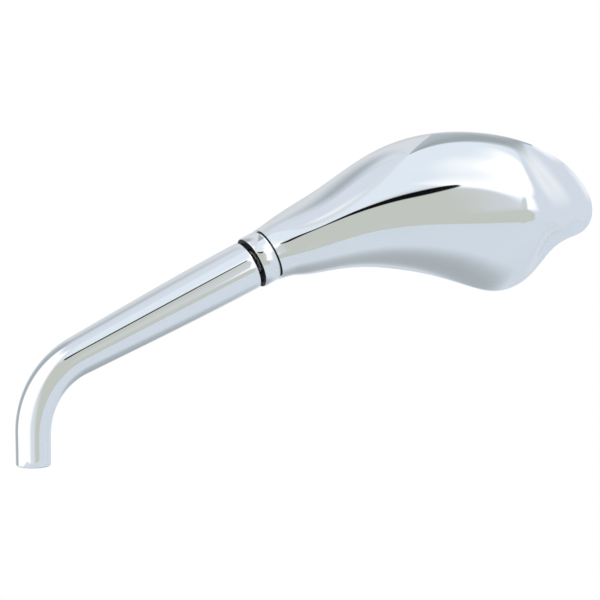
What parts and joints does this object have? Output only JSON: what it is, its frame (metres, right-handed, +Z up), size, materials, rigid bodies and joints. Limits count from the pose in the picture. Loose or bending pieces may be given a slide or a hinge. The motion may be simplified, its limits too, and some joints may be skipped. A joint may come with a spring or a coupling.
{
  "type": "motorcycle mirror",
  "caption": "Chromed teardrop motorcycle mirror: a bent tapered stem, a ball joint under a collar, and a flared cast bowl with a convex glass.",
  "frame": {"origin": "centre of the stem's lower end face, at the mouth of the fixing thread", "axes": "+Z up along the stem's foot, +X outboard along the mirror, +Y to the rider's side, where the glass faces"},
  "size_m": [0.261, 0.1103, 0.1396],
  "materials": {
    "chrome": "polished",
    "steel": "bright",
    "rubber": "matte",
    "nylon": "matte",
    "brass": "turned",
    "mirror": "polished",
    "foam": "matte",
    "black_plastic": "matte"
  },
  "bodies": {
    "root": {"stem": "chrome", "ball_stud": "steel", "stud_washer": "steel"},
    "swivel": {"dust_seal": "rubber"},
    "rocker": {"ball_liner": "nylon"},
    "head": {"collar": "chrome", "seam_ring": "rubber", "front_seat": "nylon", "pressure_cup": "brass", "pressure_spring": "steel", "spring_disc": "steel", "housing": "chrome", "rim_gasket": "rubber", "mirror_glass": "mirror", "foam_pad": "foam", "carrier_plate": "black_plastic", "screw_1": "steel", "screw_2": "steel", "screw_3": "steel", "screw_4": "steel"}
  },
  "joints": [
    {"name": "neck_swivel", "type": "hinge", "parent": "root", "child": "swivel", "pos_m": [0.10126, 0.04852, 0.08664], "axis": [0.8277, 0.3965, 0.3971], "continuous": true},
    {"name": "head_nod", "type": "hinge", "parent": "swivel", "child": "rocker", "pos_m": [0.10126, 0.04852, 0.08664], "axis": [-0.4321, 0.9018, 0], "range_deg": [-6, 6]},
    {"name": "head_turn", "type": "hinge", "parent": "rocker", "child": "head", "pos_m": [0.10126, 0.04852, 0.08664], "axis": [-0.3582, -0.1716, 0.9178], "range_deg": [-6, 6]}
  ]
}
